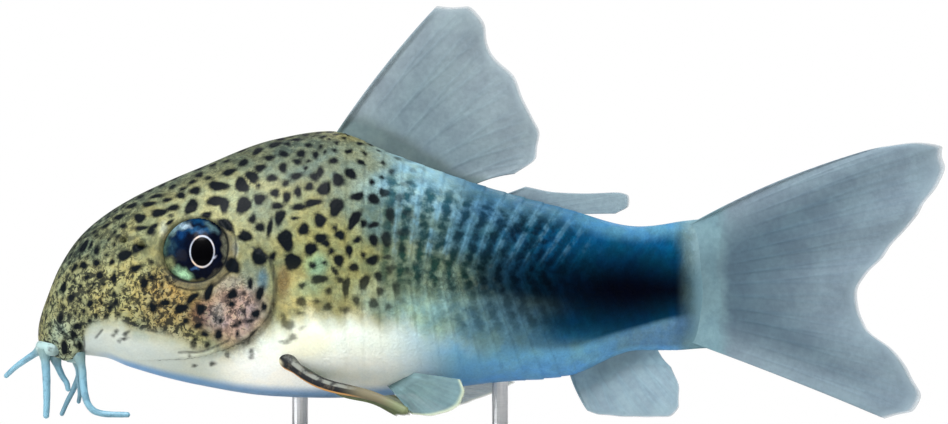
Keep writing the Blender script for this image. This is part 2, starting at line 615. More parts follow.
def spotField(points, place):
    # distance to the edge of the nearest spot, below 0 inside it
    field = np.full(len(points), 1.0)
    draw = np.random.default_rng(strewn["seed"])
    centres = []

    def add(at, level, side, halfLength, halfHeight, tilt):
        centre, outward, lengthways, upward = spotFrame(at, min(level, float(section(at)[0]) - 0.06), side)
        turn = math.radians(tilt)
        first = math.cos(turn) * lengthways + math.sin(turn) * upward
        second = math.cos(turn) * upward - math.sin(turn) * lengthways
        reach = max(halfLength, halfHeight)
        near = np.flatnonzero(np.abs(points[:, 0] - centre[0]) < reach * 1.3 + 0.6)
        away = points[near] - centre
        u, v = away @ first / halfLength, away @ second / halfHeight
        ring = np.sqrt(u**2 + v**2 + (away @ outward / (2.5 * reach)) ** 2)
        phase = draw.random(2) * 2 * math.pi
        around = np.arctan2(v, u)
        lumps = 1 + 0.12 * np.cos(2 * around + phase[0]) + 0.1 * np.cos(3 * around + phase[1])
        field[near] = np.minimum(field[near], (ring / lumps - 1) * math.sqrt(halfLength * halfHeight))
        centres.append((*centre, reach))

    half = photo["mmPerPixel"] / 2
    for column, row, width, height, tilt in spotsSeen:
        at, level = onFlank(column, row)
        outward = flankNormal(at, min(level, float(section(at)[0]) - 0.12), -1)
        steep = max(0.4, math.sqrt(1 - outward[2] ** 2))
        add(at, level, -1, width * half * 1.2, height * half * 1.2 / steep, tilt)
        # the right side has the same kinds of spots, shifted and turned
        moved = (draw.random(3) * 2 - 1) * (strewn["shift"], strewn["shift"], strewn["turn"])
        size = half * (1.0 + 0.3 * draw.random())
        add(at + moved[0], level + moved[1], 1, width * size, height * size / steep, tilt + moved[2])
    picks = draw.integers(0, len(points), strewn["tries"])
    allowed = (place[picks] > 1.6) & (place[picks] < 24.5)
    allowed &= points[picks, 2] > upperEdge(place[picks]) + 0.35
    ridge = section(place[picks])[0] - points[picks, 2]
    allowed &= (place[picks] < strewn["readTo"]) | (place[picks] > strewn["readFrom"]) | (ridge < 0.6)
    for side in (-1, 1):
        middle, _, rearward, upward = eyeFrame(side)
        away = points[picks] - middle
        inEye = np.hypot(away @ rearward, away @ upward) < 2.65
        allowed &= ~(inEye & (np.sign(points[picks, 1]) == side))
    known = np.array(centres)
    for pick in picks[allowed]:
        point, at = points[pick], place[pick]
        small = 1 - 0.55 * float(ease(8, 4.5, at)) - 0.4 * float(ease(15, 17, at) * ease(24, 22, at))
        size = strewn["radius"] * (0.72 + 0.5 * draw.random()) * small
        gap = strewn["gap"] * (0.75 + 0.25 * small) * (1.0 if 6 < at < 15 else 0.55 + 0.5 * float(ease(18, 21, at)))
        distance = np.linalg.norm(known[:, :3] - point, axis=1)
        if (distance < gap * 0.62 + known[:, 3]).any():
            continue
        stretch = 1 + 0.5 * (draw.random() - 0.5)
        add(at, point[2], math.copysign(1, point[1]), size * stretch, size / stretch, draw.random() * 180)
        known = np.vstack((known, (*point, size)))
    print("spots:", len(known))
    return field


skinTones = {
    "olive": paint(132, 132, 96),
    "cream": paint(160, 164, 130),
    "greyBlue": paint(108, 124, 116),
    "ridge": paint(66, 76, 66),
    "snout": paint(112, 120, 96),
    "cheek": paint(164, 156, 106),
    "ochre": paint(160, 136, 86),
    "rust": paint(104, 68, 52),
    "gillPink": paint(160, 136, 134),
    "gillPale": paint(156, 158, 154),
    "gillBlue": paint(72, 104, 122),
    "brown": paint(106, 86, 60),
    "straw": paint(180, 170, 118),
    "shoulder": paint(138, 140, 96),
    "crest": paint(150, 186, 198),
    "mint": paint(126, 164, 134),
    "belly": paint(229, 237, 227),
    "lightBelly": paint(253, 254, 250),
    "yolk": paint(232, 220, 160),
    "chin": paint(196, 204, 199),
    "lip": paint(206, 220, 218),
    "paleBlue": paint(92, 124, 130),
    "steel": paint(46, 86, 104),
    "sage": paint(106, 126, 112),
    "dusk": paint(26, 56, 66),
    "lowPale": paint(144, 176, 168),
    "lowSteel": paint(86, 120, 134),
    "lowBlue": paint(104, 160, 194),
    "edgeBlue": paint(96, 152, 206),
    "deepBlue": paint(6, 62, 94),
    "backBlue": paint(70, 110, 138),
    "lavender": paint(84, 112, 146),
    "lipGrey": paint(150, 164, 146),
    "smudgeBlue": paint(4, 72, 112),
    "stemBlue": paint(70, 128, 168),
    "smudge": paint(0, 2, 14),
    "underBlue": paint(2, 72, 112),
    "band": paint(100, 131, 142),
    "bandPale": paint(132, 160, 168),
    "rim": paint(104, 98, 80),
    "spot": paint(9, 15, 20),
    "gleam": paint(116, 164, 188),
}

patchesSeen = (  # tone, column, row, half width and half height in pixels, amount
    ("cream", 236, 205, 100, 62, 0.8), ("shoulder", 345, 250, 90, 70, 0.9), ("greyBlue", 312, 162, 90, 34, 0.8),
    ("greyBlue", 268, 212, 26, 36, 0.55), ("greyBlue", 345, 195, 34, 40, 0.6), ("snout", 82, 250, 52, 80, 0.9),
    ("cheek", 118, 288, 62, 44, 0.9), ("ochre", 176, 302, 48, 42, 0.85), ("rust", 205, 314, 24, 22, 0.85), ("brown", 232, 322, 30, 22, 0.4),
    ("gillPink", 238, 310, 44, 46, 0.9), ("gillPale", 232, 283, 15, 10, 0.6), ("gillPale", 220, 312, 10, 15, 0.5), ("straw", 166, 230, 9, 15, 0.8), ("chin", 166, 230, 6, 12, 0.4),
    ("gillBlue", 264, 279, 9, 17, 0.85), ("straw", 297, 304, 28, 46, 0.75), ("straw", 290, 336, 24, 11, 0.5),
    ("brown", 285, 281, 10, 26, 0.75), ("mint", 317, 264, 17, 18, 0.65), ("mint", 308, 289, 22, 14, 0.35), ("gillPale", 238, 250, 4, 12, 0.7),
    ("paleBlue", 385, 216, 46, 40, 0.75), ("crest", 400, 188, 62, 24, 0.85), ("crest", 440, 194, 54, 16, 0.7),
    ("lowPale", 412, 303, 38, 36, 0.95), ("lowPale", 378, 296, 32, 24, 0.5), ("cream", 380, 292, 34, 24, 0.6),
    ("lipGrey", 68, 340, 24, 34, 0.8), ("greyBlue", 252, 273, 15, 22, 0.6), ("ridge", 90, 238, 44, 30, 0.3),
)


def skinTone(place, height):
    # ground colour of the skin without its spots and bars
    tones = skinTones
    back, belly = section(place)[:2]
    share = (height - belly) / (back - belly)
    colour = np.tile(tones["olive"], (len(place), 1))

    def lay(tone, amount):
        nonlocal colour
        colour = colour + (tones[tone] - colour) * np.clip(amount, 0, 1)[:, None]

    def ringAt(at, up, halfLength, halfHeight):
        return np.hypot((place - at) / halfLength, (height - up) / halfHeight)

    def patch(*where):
        return 1 - ease(0.3, 1.0, ringAt(*where))

    for tone, column, row, halfWidth, halfHeight, amount in patchesSeen:
        pixel = photo["mmPerPixel"]
        lay(tone, patch(*onFlank(column, row), halfWidth * pixel, halfHeight * pixel) * amount)
    lay("sage", ease(20.5, 23.5, place) * ease(15, 13, height))
    lay("paleBlue", ease(21.5, 24.5, place) * ease(13.0, 15.2, height) * 0.9)
    lay("steel", ease(24, 27.5, place) * ease(12.8, 14.2, height))
    lay("dusk", ease(25, 28.5, place)
        * ease(9.8, 11.6, height + 1.3 * ease(27, 31, place))
        * ease(14.6, 13.2, height) * 0.9)
    lay("lowPale", ease(21.5, 24, place) * ease(11.8, 10.6, height))
    lay("lowSteel", ease(23.5, 28, place) * ease(11.8, 10.4, height))
    lay("deepBlue", ease(26.5, 32, place) * ease(10.2, 11.6, height) * ease(1.04, 0.9, share) * 0.97)
    crown = 0.74 + 0.1 * ease(28, 32, place)
    lay("backBlue", ease(20, 26, place) * ease(crown, crown + 0.13, share) * 0.85)
    lay("crest", hump(24.0, 4.2, place) * ease(0.74, 0.88, share) * 0.85)
    lay("smudgeBlue", ease(30.5, 34.5, place) * ease(8.4, 9.8, height) * ease(0.98, 0.84, share))
    lay("underBlue", ease(29, 33.5, place) * ease(7.6, 8.8, height) * ease(10.8, 9.6, height) * 0.9)
    reach = np.hypot(np.minimum(place - 37.0, 0) / 10.8, (height - 11.6) / 3.15) + 0.2 * ease(37, 40.5, place)
    lay("smudge", 1 - np.clip(reach, 0, 1) ** 2.5)
    lay("ridge", ease(0.84, 0.985, share) * ease(0.8, 2.5, place) * ease(20.5, 16.5, place) * 0.8)
    lay("stemBlue", ease(0.84, 0.96, share) * ease(31, 36, place) * 0.8)
    uneven = 0.22 * np.sin(place * 2.1) + 0.14 * np.sin(place * 5.3 + height * 2)
    sharper = 1 + 2.2 * ease(28, 34, place)
    pale = ease(0.7, -1.2, (height - upperEdge(place)) * sharper + uneven * ease(12, 15, place) * ease(31, 27, place))
    lay("belly", pale * ease(6, 15, place) * ease(30, 21.5, place))
    lay("chin", pale * ease(15, 6, place))
    lay("lightBelly", ease(0.22, 0.1, share) * ease(10, 14, place) * ease(27, 22, place))
    lay("yolk", patch(17.0, 8.1, 2.4, 1.4) * 0.3)
    lay("lowBlue", pale * ease(20.5, 27.5, place) * ease(41.5, 39, place))
    lay("lavender", pale * ease(34, 38, place) * 0.7)
    lay("edgeBlue", ease(0.055, 0.015, share) * ease(3, 6, place) * 0.85)
    lay("edgeBlue", ease(0.16, 0.03, share) * ease(23, 30, place) * ease(37, 34, place) * 0.8)
    lay("band", ease(40.1, 41.9, place + 0.5 * ease(2.0, 3.6, np.abs(height - 11.5))))
    lay("bandPale", ease(40.4, 41.2, place) * hump(14.6, 2.6, height) * 0.8)
    return colour


def makeSkinMaterial():
    material, tree, shader = newMaterial(
        "wetSkin", Roughness=0.45, Coat_Weight=0.05, Coat_Roughness=0.35, Specular_IOR_Level=0.02
    )
    where = inMillimetres(tree)
    ground = readColour(tree, "tone")
    mottle = cloud(tree, where, 1.3, 4, 0.6)
    ground = tint(tree, 1.0, ground, tint(tree, mottle, (0.62, 0.64, 0.64, 1), (1.34, 1.32, 1.26, 1)), "MULTIPLY")
    warmth = fade(tree, cloud(tree, where, 0.7, 3, 0.6), 0.35, 0.65)
    ground = tint(tree, 1.0, ground, tint(tree, warmth, (0.88, 0.97, 1.06, 1), (1.08, 1.02, 0.9, 1)), "MULTIPLY")
    ground = tint(tree, readValue(tree, "plain"), ground, readColour(tree, "tone"))
    grain = cloud(tree, where, 7.0, 3, 0.6)
    grained = tint(tree, 1.0, ground, tint(tree, grain, (0.74, 0.74, 0.74, 1), (1.24, 1.24, 1.22, 1)), "MULTIPLY")
    ground = tint(tree, calc(tree, "MULTIPLY_ADD", readValue(tree, "plain"), -0.7, 1.0), ground, grained)
    blotches = fade(tree, cloud(tree, where, 1.1, 3, 0.6, 0.8), 0.5, 0.62)
    blotches = calc(tree, "MULTIPLY", calc(tree, "MULTIPLY", blotches, readValue(tree, "strokes")), 0.35)
    ground = tint(tree, blotches, ground, rgba(skinTones["ridge"]))
    ink = rgba(skinTones["spot"])
    # ragged dark dabs and a broken net on the snout and cheeks
    ragged = wandered(tree, where, 3.0, 0.42)
    apart = cells(tree, ragged, 2.0)
    net = calc(tree, "MULTIPLY", fade(tree, apart, 0.4, 0.62), fade(tree, cloud(tree, where, 3.0, 3, 0.6), 0.4, 0.56))
    pebbles = calc(tree, "MULTIPLY", fade(tree, apart, 0.5, 0.1), readValue(tree, "strokes"))
    ground = tint(tree, calc(tree, "MULTIPLY", pebbles, 0.3), ground, rgba(skinTones["cream"] * 1.1))
    dabs = fade(tree, cloud(tree, where, 2.3, 3, 0.55, 1.3), 0.53, 0.6)
    flecks = fade(tree, cloud(tree, where, 4.6, 2, 0.5, 0.9), 0.56, 0.64, 0.0, 0.8)
    strokes = calc(tree, "MAXIMUM", calc(tree, "MAXIMUM", net, dabs), flecks)
    strokes = calc(tree, "MULTIPLY", strokes, readValue(tree, "strokes"))
    ground = tint(tree, strokes, ground, rgba(skinTones["spot"] * 1.6))
    # light between the bars of the back
    bar = readValue(tree, "bar")
    gleam = calc(tree, "MULTIPLY", fade(tree, bar, 0.0, -0.9), fade(tree, cloud(tree, where, 1.0, 3, 0.6), 0.4, 0.6))
    ground = tint(tree, calc(tree, "MULTIPLY", gleam, readValue(tree, "gleam")), ground, rgba(skinTones["gleam"]))
    # bars along the plates, broken into blobs
    broken = calc(tree, "MULTIPLY", calc(tree, "SUBTRACT", cloud(tree, where, 1.9, 2, 0.5), 0.5), 6.2)
    bars = fade(tree, calc(tree, "ADD", bar, broken), -1.9, 1.5)
    bars = calc(tree, "MULTIPLY", bars, readValue(tree, "barDepth"))
    shade = tint(tree, readValue(tree, "low"), (0.07, 0.17, 0.2, 1), (0.17, 0.24, 0.27, 1))
    ground = tint(tree, bars, ground, tint(tree, 1.0, ground, shade, "MULTIPLY"))
    # round spots with ragged edges
    wobble = calc(tree, "MULTIPLY", calc(tree, "SUBTRACT", cloud(tree, where, 2.6, 3, 0.6), 0.5), 0.26)
    edge = calc(tree, "ADD", readValue(tree, "spot"), wobble)
    spots = calc(tree, "MULTIPLY", fade(tree, edge, 0.15, -0.14), readValue(tree, "spotDepth"))
    colour = tint(tree, spots, ground, ink)
    # thin folds
    folds = calc(tree, "MULTIPLY", fade(tree, readValue(tree, "fold"), 0.14, 0.0), 0.7)
    colour = tint(tree, folds, colour, rgba(skinTones["spot"] * 2 + 0.01))
    # the dark edge of the eye's opening
    eyeAway, eyeShade = readValue(tree, "eyeAway"), readValue(tree, "eyeShade")
    edge = calc(tree, "MULTIPLY", fade(tree, eyeAway, 2.28, 2.14), fade(tree, eyeShade, 0.0, 1.0, 0.25, 0.9))
    crease = calc(tree, "ABSOLUTE", calc(tree, "SUBTRACT", calc(tree, "MULTIPLY_ADD", wobble, 0.6, eyeAway), 2.58))
    crease = calc(tree, "MULTIPLY", fade(tree, crease, 0.12, 0.0), fade(tree, eyeShade, 0.5, 1.0, 0.0, 0.6))
    colour = tint(tree, calc(tree, "MAXIMUM", edge, crease), colour, rgba(skinTones["spot"] * 1.5))
    tree.links.new(colour, shader.inputs["Base Color"])
    rough = fade(tree, grain, 0.3, 0.7, 0.34, 0.5)
    tree.links.new(rough, shader.inputs["Roughness"])
    tree.links.new(calc(tree, "MULTIPLY", readValue(tree, "shine"), 0.05), shader.inputs["Coat Weight"])
    relief = calc(tree, "ADD", calc(tree, "MULTIPLY", grain, 0.6), calc(tree, "MULTIPLY", cells(tree, where, 5.5), 0.5))
    bumpFrom(tree, shader, relief, 0.05, 0.8)
    return material


def makeSkin():
    places = ringPlaces()
    angles = evenAngles(places)

    def place(ring, column):
        inner = np.clip(ring, 0, len(places) - 1)
        points = bodyPoint(places[inner], angles[inner, column])
        points[ring < 0] = (body["snoutX"], 0, body["sections"][0][1])
        points[ring >= len(places)] = (body["snoutX"] + body["rootEnd"] + 0.05, 0, 11.9)
        return points

    material = makeSkinMaterial()
    mesh, ring, column = drawnOut(body["sides"], len(places), place)
    skin = finishPiece("skin", mesh, material, ("head", "trunk", "tail_stem"))
    data = skin.data
    count = len(data.vertices)
    points = np.empty(count * 3)
    data.vertices.foreach_get("co", points)
    points = points.reshape(-1, 3) / mm
    normals = np.empty(count * 3, np.float32)
    data.vertex_normals.foreach_get("vector", normals)
    normals = normals.reshape(-1, 3).astype(float)
    inner = np.clip(ring, 0, len(places) - 1)
    at = points[:, 0] - body["snoutX"]
    lift, phase, cover, level = plateLift(places[inner], angles[inner, column], at, points[:, 2])
    moved = points + normals * lift[:, None] + headForms(points, normals)
    data.vertices.foreach_set("co", (moved * mm).ravel())
    data.update()

    height = points[:, 2]
    back, belly = section(at)[:2]
    share = (height - belly) / np.maximum(back - belly, 0.01)
    tone = skinTone(at, height)
    # a brown rim round each eye, darker below and behind
    eyeAway, eyeShade = np.full(count, 9.0), np.zeros(count)
    for side in (-1, 1):
        middle, looks, rearward, upward = eyeFrame(side)
        away = points - middle
        across, up = away @ rearward, away @ upward
        radius = np.hypot(across / eye["wide"], up)
        eyeAway = np.where(np.sign(points[:, 1]) == side, radius, eyeAway)
        eyeShade = np.where(np.sign(points[:, 1]) == side, ease(-2.0, 1.2, across - up), eyeShade)
        rim = ease(2.75, 2.3, radius) * (np.sign(points[:, 1]) == side) * (0.1 + 0.75 * ease(-1.2, 1.2, across - up))
        tone += (skinTones["rim"] - tone) * rim[:, None]
    giveColour(skin, "tone", tone)
    calm = ease(0.3, -1.0, height - upperEdge(at)) * ease(32, 24, at) * 0.75
    giveValue(skin, "plain", np.maximum(calm, ease(40.4, 41.8, at)))
    giveValue(skin, "spot", spotField(points, at))
    flat = points[:, (0, 2)] - (body["snoutX"], 0)
    slit = nearestOnLine(flat, gillLine)[0] * (1.5 - 0.9 * ease(9.5, 10.8, height))
    giveValue(skin, "fold", np.minimum(foldDistance(points), slit))
    giveValue(skin, "eyeAway", np.minimum(eyeAway, 9.0))
    giveValue(skin, "eyeShade", eyeShade)
    marked = ease(-0.2, 0.5, height - upperEdge(at))
    # spots are also seen on the pale chin, fainter on the shoulder
    marked = np.maximum(marked, 0.85 * ease(17.4, 16.4, at))
    giveValue(skin, "spotDepth", marked * ease(25.5, 21, at) * (1 - 0.2 * ease(14, 10, height) * ease(14.5, 16, at)))
    marked = ease(-0.15, 0.35, height - upperEdge(at))
    strokes = ease(10.6, 8.6, at + (height - 11.5) * 0.35) * ease(14.2, 12.6, height)
    strokes = np.maximum(strokes, 0.85 * ease(4.2, 2.8, at) * (1 - 0.4 * ease(10.5, 9.0, height)))
    strokes = np.maximum(strokes, 0.75 * ease(8.2, 5.5, at)) * marked
    strokes = np.maximum(strokes, 0.9 * hump(12.6, 3.0, at) * hump(10.6, 4.0, height))
    strokes = np.maximum(strokes, hump(10.5, 2.6, at) * hump(10.2, 2.4, height))
    strokes = np.maximum(strokes, 0.55 * ease(0.84, 0.97, share) * ease(24, 18, at))
    strokes = np.maximum(strokes, 0.3 * marked * ease(26, 20, at))
    strokes = np.maximum(strokes, 0.5 * hump(25.5, 4.5, at) * hump(12.3, 2.2, height))
    giveValue(skin, "strokes", strokes * 0.9)
    giveValue(skin, "bar", np.cos((phase - 0.45) * 2 * math.pi))
    bars = cover * ease(19.8, 22.6, at) * ease(8.2, 9.6, height) * ease(1.0, 0.87, share)
    bars = bars * (0.75 + 0.25 * ease(10.8, 12.2, height)) * (1 - 0.65 * ease(12.6, 11.0, height) * ease(27, 23.5, at))
    giveValue(skin, "barDepth", bars * (1 - 0.7 * ease(31, 36, at)))
    shine = np.maximum(hump(24.8, 4.6, at), 0.5 * ease(24, 28, at) * ease(36, 32, at))
    giveValue(skin, "gleam", shine * ease(13.0, 14.8, height) * ease(1.0, 0.93, share) * 0.6)
    giveValue(skin, "low", ease(12.4, 10.6, height))
    giveValue(skin, "shine", ease(30, 24, at) + ease(0.9, 0.98, share) * ease(24, 30, at))
    print("skin:", count, "corners")
    return skin


makeSkin()


eyeMarks = (  # colour, then column, row, half width and half height in pixels, tilt, amount
    (paint(4, 22, 46), 174, 240, 14, 20, 0, 0.9),
    (paint(10, 48, 92), 184, 234, 7, 5, 20, 0.6),
    (paint(30, 76, 116), 200, 230, 15, 4, -3, 0.7),
    (paint(34, 60, 74), 174, 247, 5, 9, 0, 0.6),
    (paint(62, 88, 80), 166, 243, 6, 18, -10, 0.85),
    (paint(104, 132, 132), 171, 229, 7, 8, 40, 0.7),
    (paint(110, 140, 152), 182, 226, 11, 5, 15, 0.7),
    (paint(160, 184, 200), 187, 226, 8, 3, -4, 0.55),
    (paint(4, 42, 74), 200, 221, 12, 4, -8, 1.0),
    (paint(74, 102, 108), 213, 227, 10, 4, -38, 0.7),
    (paint(104, 110, 78), 170, 264, 8, 9, -50, 0.9),
    (paint(94, 92, 66), 198, 282, 20, 4, 5, 0.9),
    (paint(128, 166, 130), 184, 273, 12, 7, -28, 0.85),
    (paint(156, 200, 164), 186, 275, 8, 4, -28, 0.6),
    (paint(92, 94, 80), 228, 252, 4.5, 26, 6, 0.9),
    (paint(76, 74, 64), 218, 275, 13, 5, 44, 0.9),
    (paint(170, 176, 194), 217, 257, 2, 2, 0, 0.8),
    (paint(60, 100, 150), 197, 268, 4, 2, 0, 0.5),
)


def makeEyeMaterial():
    material, tree, shader = newMaterial(
        "eyeGloss", Roughness=0.35, Coat_Weight=0.05, Coat_Roughness=0.12, Specular_IOR_Level=0.01
    )
    local = addNode(tree, "Attribute", attribute_name="local").outputs["Vector"]
    where = inMillimetres(tree)
    iris = readColour(tree, "iris")
    flecks = fade(tree, cloud(tree, where, 3.4, 4, 0.65, 0.8), 0.35, 0.65)
    iris = tint(tree, 1.0, iris, tint(tree, flecks, (0.62, 0.62, 0.66, 1), (1.4, 1.36, 1.3, 1)), "MULTIPLY")
    wide, high = eye["pupil"]
    across, up = eye["pupilPlace"]
    centred = addNode(
        tree, "Mapping", {"Vector": local, "Location": (-across / wide, -up / high, 0), "Scale": (1 / wide, 1 / high, 0)}
    ).outputs[0]
    ringAt = addNode(tree, "VectorMath", {0: centred}, operation="LENGTH").outputs["Value"]
    ring = calc(tree, "MULTIPLY", fade(tree, ringAt, 0.92, 0.98), fade(tree, ringAt, 1.11, 1.03))
    worn = fade(tree, cloud(tree, where, 1.6, 2, 0.5), 0.3, 0.6, 0.6, 0.95)
    ringTone = tint(tree, fade(tree, cloud(tree, where, 0.9), 0.4, 0.6), rgba(eye["ringWarm"]), rgba(eye["ringCool"]))
    colour = tint(tree, calc(tree, "MULTIPLY", ring, worn), iris, ringTone)
    pupil = fade(tree, ringAt, 0.97, 0.92)
    colour = tint(tree, pupil, colour, (0.0006, 0.0006, 0.001, 1))
    tree.links.new(colour, shader.inputs["Base Color"])
    bumpFrom(tree, shader, flecks, 0.01, 0.3)
    return material


def makeEyes():
    material = makeEyeMaterial()
    sides, rings = 200, 110
    pixel = photo["mmPerPixel"]
    seenX, seenHeight = fromPixel(eye["column"], eye["row"])
    for side, word in ((-1, "left"), (1, "right")):
        middle, looks, rearward, upward = eyeFrame(side)

        def place(ring, column):
            turn = (ring + 1) / (rings + 1) * math.pi
            around = column / sides * 2 * math.pi
            out = np.cos(around)[:, None] * rearward * eye["wide"] + np.sin(around)[:, None] * upward
            out = np.sin(turn)[:, None] * out * eye["radius"]
            return middle + out + np.cos(turn)[:, None] * looks * eye["halfDepth"]

        mesh, ring, column = drawnOut(sides, rings, place)
        ball = finishPiece("eyeball_" + word, mesh, material, ("eye_" + word,))
        # the marks are placed as seen from the side
        corners = place(ring, column)
        across, up = corners[:, 0] - seenX, corners[:, 2] - seenHeight
        giveVector(ball, "local", np.stack((across, up, 0 * up), axis=-1))
        colour = np.tile(paint(2, 6, 22), (len(across), 1))
        for tone, markColumn, row, halfWidth, halfHeight, tilt, amount in eyeMarks:
            turn = math.radians(tilt)
            u = across - (markColumn - eye["column"]) * pixel + 0.06 * np.sin(9 * up + 4 * across)
            v = up - (eye["row"] - row) * pixel + 0.05 * np.sin(11 * across - 3 * up)
            first = (u * math.cos(turn) + v * math.sin(turn)) / (halfWidth * pixel)
            second = (v * math.cos(turn) - u * math.sin(turn)) / (halfHeight * pixel)
            colour += (tone - colour) * (ease(1.25, 0.3, np.hypot(first, second)) * amount)[:, None]
        giveColour(ball, "iris", colour)
    print("eyes: 2")


makeEyes()


# Fins

fins = {
    "membrane": 0.12,
    "ray": 0.19,
    "sink": 0.6,  # how far a fin's root is inside the body
    "rows": 70,
    "columnsPerRay": 16,
    "clear": 0.35,  # the solids' own gap at the root
    "uneven": 0.012,  # how much the rays' lengths differ
}


def makeFinMaterial(name, root, near, far, edge, clear):
    # mottled grey-blue membrane over faint rays, darker in its middle and clearer towards its soft margin
    material, tree, shader = newMaterial(name, Roughness=0.6, Coat_Weight=0.02, Coat_Roughness=0.4, Specular_IOR_Level=0.2)
    where = inMillimetres(tree)
    out = readValue(tree, "out")
    ray = readValue(tree, "ray")
    colour = tint(tree, fade(tree, readValue(tree, "away"), 0.05, 0.95), rgba(near), rgba(far))
    patches = fade(tree, cloud(tree, where, 0.5, 3, 0.6), 0.35, 0.65)
    colour = tint(tree, 1.0, colour, tint(tree, patches, (0.9, 0.9, 0.92, 1), (1.1, 1.1, 1.08, 1)), "MULTIPLY")
    speckle = fade(tree, cloud(tree, where, 3.2, 4, 0.6), 0.3, 0.7)
    colour = tint(tree, 1.0, colour, tint(tree, speckle, (0.91, 0.92, 0.93, 1), (1.07, 1.07, 1.06, 1)), "MULTIPLY")
    colour = tint(tree, fade(tree, out, 0.92, 1.0), colour, rgba(edge))
    colour = tint(tree, calc(tree, "MULTIPLY", ray, 0.12), colour, rgba(near * 0.6))
    # the root's tone ends in a ragged line
    whole = fade(tree, calc(tree, "MULTIPLY_ADD", patches, 0.25, readValue(tree, "root")), 0.15, 1.05)
    rootTone = tint(tree, fade(tree, readValue(tree, "away"), 0.02, 0.5), rgba(root * 0.76), rgba(root))
    rootTone = tint(tree, 1.0, rootTone, tint(tree, patches, (0.9, 0.92, 0.94, 1), (1.08, 1.07, 1.05, 1)), "MULTIPLY")
    rootTone = tint(tree, 1.0, rootTone, tint(tree, speckle, (0.91, 0.92, 0.93, 1), (1.07, 1.07, 1.06, 1)), "MULTIPLY")
    colour = tint(tree, whole, colour, rootTone)
    tree.links.new(colour, shader.inputs["Base Color"])
    alpha = fade(tree, ray, 0.0, 0.8, clear, clear + 0.12)
    alpha = calc(tree, "MULTIPLY", calc(tree, "MAXIMUM", alpha, whole), fade(tree, out, 1.0, 0.965, 0.3, 1.0))
    tree.links.new(alpha, shader.inputs["Alpha"])
    bumpFrom(tree, shader, speckle, 0.02, 0.4)
    return material


def finShape(rays, at, out, notch):
    # a point of the fin between its rays: at counts the rays from the front, out is the share of the length
    index = range(len(rays))
    ends = []
    for part in range(len(rays[0])):
        ends.append(np.stack([curveThrough([(i, rays[i][part][axis]) for i in index], at) for axis in range(3)], -1))
    root, tip, bow, swing = ends
    between = 0.5 - 0.5 * np.cos(2 * math.pi * at)
    wander = fins["uneven"] * np.sin(at * 2.3 + len(rays)) * np.sin(at * 0.9 + 1)
    reach = out * (1 - (notch * between - wander) * out**3)
    point = root + (tip - root) * reach[:, None] + bow * (4 * reach * (1 - reach))[:, None]
    return point + swing * np.sin(2 * math.pi * reach)[:, None]


def makeFin(name, rays, material, replaced, spine=0.5, rootThickness=0.6, notch=0.012, wave=0.0, rows=None, relief=1,
            blend=(1.2, 2.8)):
    rows = rows or fins["rows"]
    columns = (len(rays) - 1) * fins["columnsPerRay"]
    mesh = bmesh.new()
    bmesh.ops.create_grid(mesh, x_segments=columns, y_segments=rows, size=1)
    corners = placeOf(mesh)
    at = (corners[:, 0] + 1) / 2 * (len(rays) - 1)
    out = (corners[:, 1] + 1) / 2
    points = finShape(rays, at, out, notch)
    spacing = np.linalg.norm(finShape(rays, np.clip(at + 0.5, 0, len(rays) - 1), out, notch)
                             - finShape(rays, np.clip(at - 0.5, 0, len(rays) - 1), out, notch), axis=1)
    off = np.abs(at - np.round(at))
    fork = np.abs(off - 0.2 * ease(0.38, 0.75, out))
    fork = np.abs(fork - 0.09 * ease(0.7, 0.98, out))
    fork = np.where(np.round(at) == 0, off, fork)
    ridge = np.exp(-((fork * spacing / 0.1) ** 2)) * (1 - 0.8 * ease(0.85, 1.0, out)) * ease(0.12, 0.42, out) * relief
    points[:, 1] += wave * np.sin(at * 1.9 + out * 2.2) * out**2
    moveTo(mesh, points)
    group = mesh.verts.layers.deform.new()
    thick = fins["membrane"] + (fins["ray"] * (1 - 0.55 * out) - fins["membrane"] * 0.5) * ridge
    thick = np.where(at < 0.35, np.maximum(thick, spine * (1 - 0.6 * out) * ease(0.35, 0.05, at)), thick)
    thick = thick + (rootThickness - thick) * ease(0.22, 0.0, out) ** 2
    thick *= 1 - 0.6 * ease(0.9, 1.0, out)
    most = thick.max()
    for vertex, value in zip(mesh.verts, thick / most):
        vertex[group][0] = value
    fin = finishPiece(name, mesh, material, replaced)
    fin.vertex_groups.new(name="thickness")
    giveValue(fin, "ray", ridge)
    giveValue(fin, "out", out)
    # 1 over the root, which joins the body's colour
    forward = unit(np.mean([ray[1] - ray[0] for ray in rays], axis=0))
    run = (points - finShape(rays, at, 0 * out, 0)) @ forward
    giveValue(fin, "root", ease(blend[1], blend[0], run))
    # 0 in the middle of the fin and 1 at its front, rear and outer edges
    share = at / (len(rays) - 1)
    giveValue(fin, "away", np.maximum(np.abs(2 * share - 1) ** 2, out**1.5))
    wall = fin.modifiers.new("wall", "SOLIDIFY")
    wall.thickness = most * mm
    wall.offset = 0
    wall.vertex_group = "thickness"
    wall.use_even_offset = False
    print(name, "rays:", len(rays))
    return fin


def middleRays(start, end, tips, bow=0.0, below=False):
    # rays in the middle plane, from even places on the edge of the body to tips as (place, height)
    rays = []
    for place, (tipPlace, tipHeight) in zip(np.linspace(start, end, len(tips)), tips):
        edge = section(place)[1] if below else section(place)[0]
        root = np.array((body["snoutX"] + place, 0, float(edge)))
        tip = np.array((body["snoutX"] + tipPlace, 0, tipHeight))
        run = unit(tip - root)
        sunk = root - run * fins["sink"] / max(0.35, abs(run[2]))
        rays.append((sunk, tip, np.array((-run[2], 0, run[0])) * bow, np.zeros(3)))
    return rays


